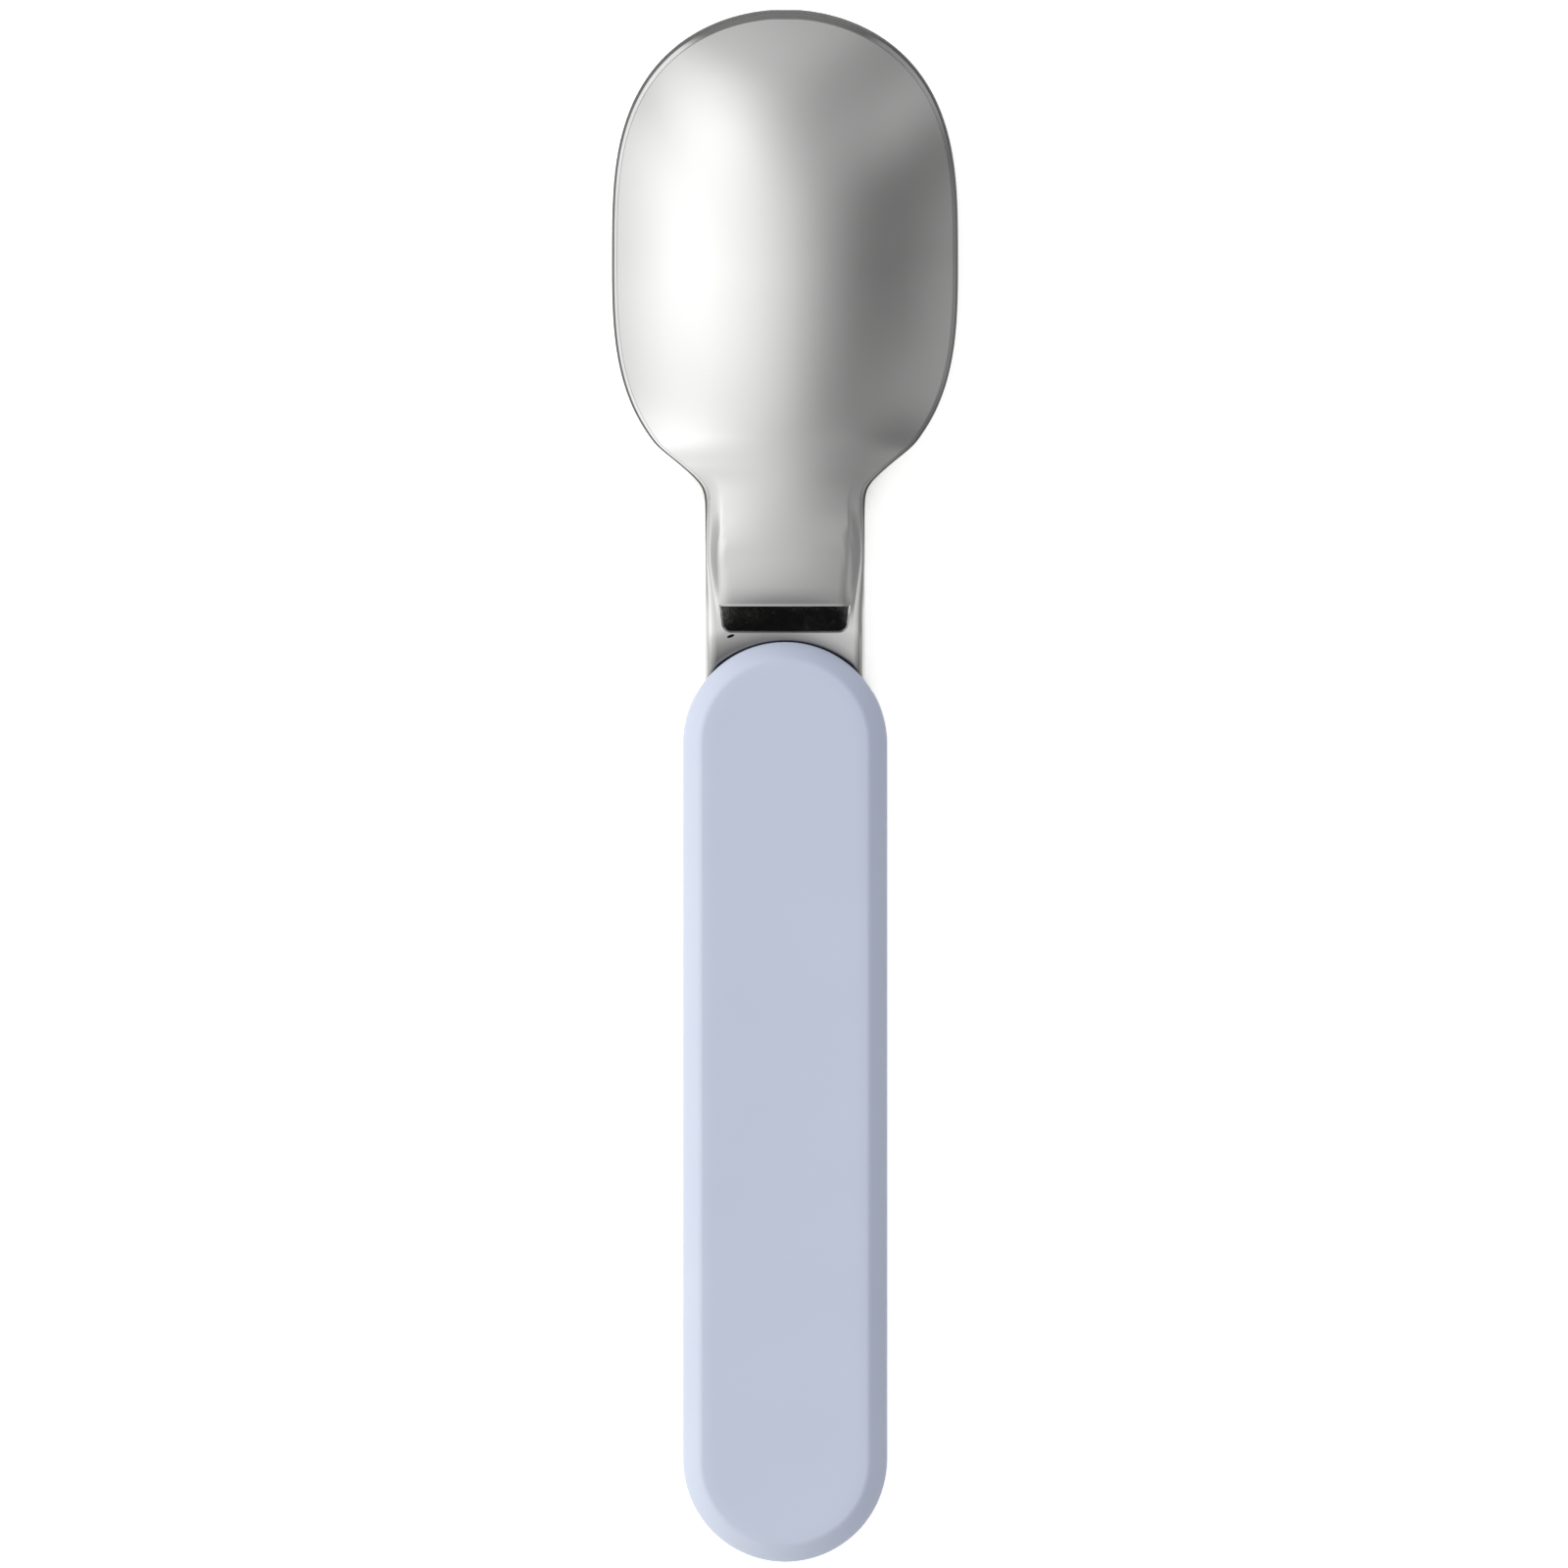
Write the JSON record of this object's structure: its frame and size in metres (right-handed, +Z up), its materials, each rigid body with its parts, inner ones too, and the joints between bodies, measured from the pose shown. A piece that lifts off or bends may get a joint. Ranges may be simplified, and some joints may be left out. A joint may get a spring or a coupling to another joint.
{
  "type": "folding spoon",
  "caption": "Folding spoon with a pressed stainless head, a raised slotted neck and a pin hinge in a flat round-ended plastic handle that the bowl folds back on.",
  "frame": {"origin": "middle of the whole unfolded length, on the spoon's plane of symmetry, on the surface that it rests on", "axes": "+Y along the spoon towards the tip of the bowl, +Z up from the handle's back to its front face and to the round back of the bowl, +X to the right when looking at that face with the tip away from the viewer"},
  "size_m": [0.0378, 0.17, 0.0122],
  "materials": {
    "polished_steel": "polished stainless sheet with fine hairlines",
    "lavender_plastic": "fine matt moulded grain, pale lavender blue",
    "pin_steel": "drawn bright steel",
    "spring_steel": "rolled spring strip",
    "white_acetal": "smooth natural acetal"
  },
  "bodies": {
    "handle": {"front_shell": "lavender_plastic", "back_shell": "lavender_plastic", "hinge_pin": "pin_steel", "left_washer": "white_acetal", "right_washer": "white_acetal", "friction_spring": "spring_steel", "spring_rivet": "pin_steel"},
    "head": {"spoon_head": "polished_steel"}
  },
  "joints": [
    {"name": "fold", "type": "hinge", "parent": "handle", "child": "head", "pos_m": [0, 0.00443, 0.0045], "axis": [-1, 0, 0], "range_deg": [0, 173]}
  ]
}
